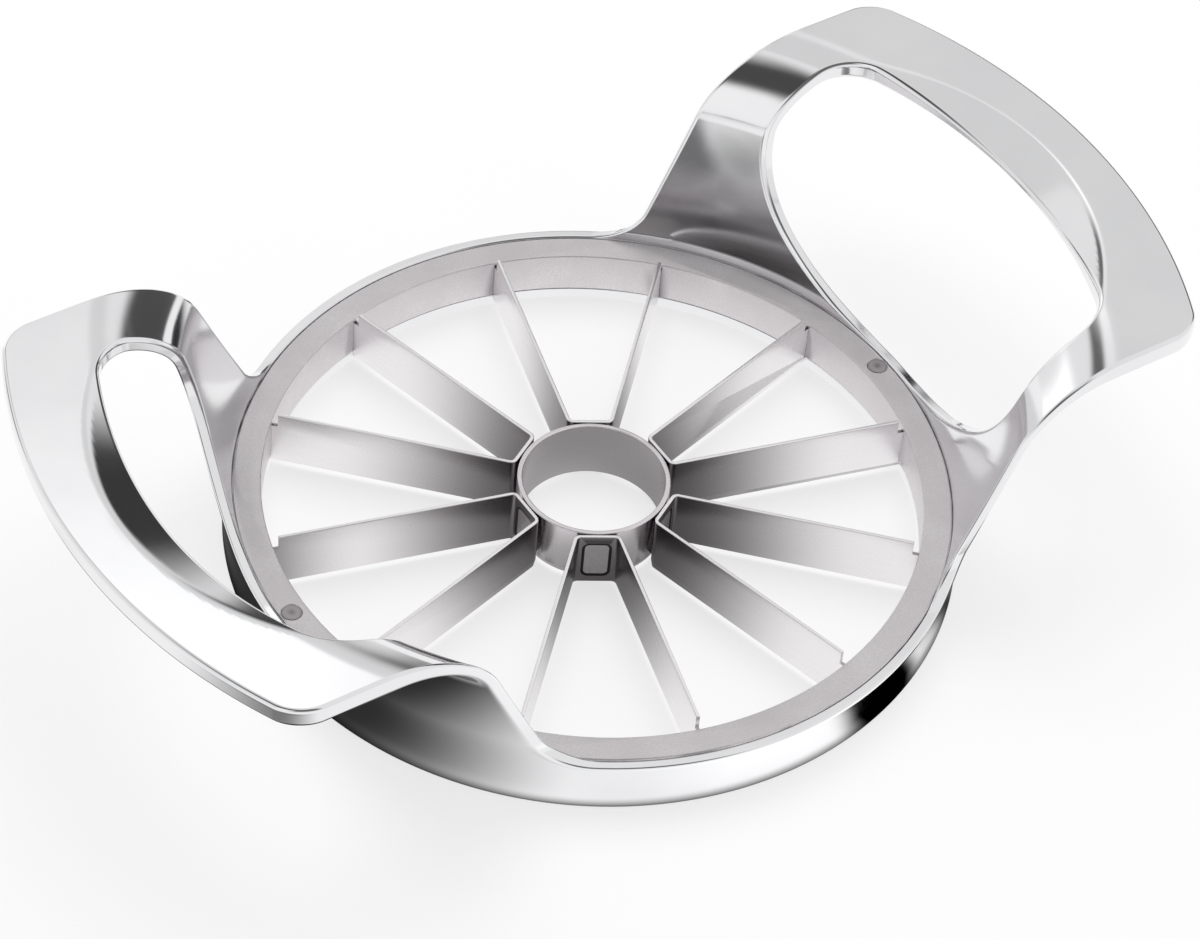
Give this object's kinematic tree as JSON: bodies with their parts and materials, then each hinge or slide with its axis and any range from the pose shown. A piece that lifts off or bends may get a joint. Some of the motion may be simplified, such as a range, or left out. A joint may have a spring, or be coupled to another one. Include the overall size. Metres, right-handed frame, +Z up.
{
  "type": "corer slicer",
  "caption": "Push-down fruit corer and wedge slicer with a polished cast frame, radial blades and a loop handle on each side.",
  "frame": {"origin": "centre of the ring on the face it stands on", "axes": "+X through both handles, +Y across them, +Z up from the cutting edges to the grips"},
  "size_m": [0.18, 0.115, 0.0427],
  "materials": {
    "polished_casting": "mirror-polished cast metal",
    "blasted_steel": "fine satin, slightly matt",
    "blade_steel": "brushed stainless strip",
    "rivet_steel": "polished over, flush"
  },
  "bodies": {
    "root": {"frame_casting": "polished_casting", "blade_ring": "blasted_steel", "ring_rivets": "rivet_steel", "core_tube": "blade_steel", "blade_strip_1": "blade_steel", "blade_strip_2": "blade_steel", "blade_strip_3": "blade_steel", "blade_strip_4": "blade_steel", "blade_strip_5": "blade_steel", "blade_strip_6": "blade_steel"}
  },
  "joints": []
}
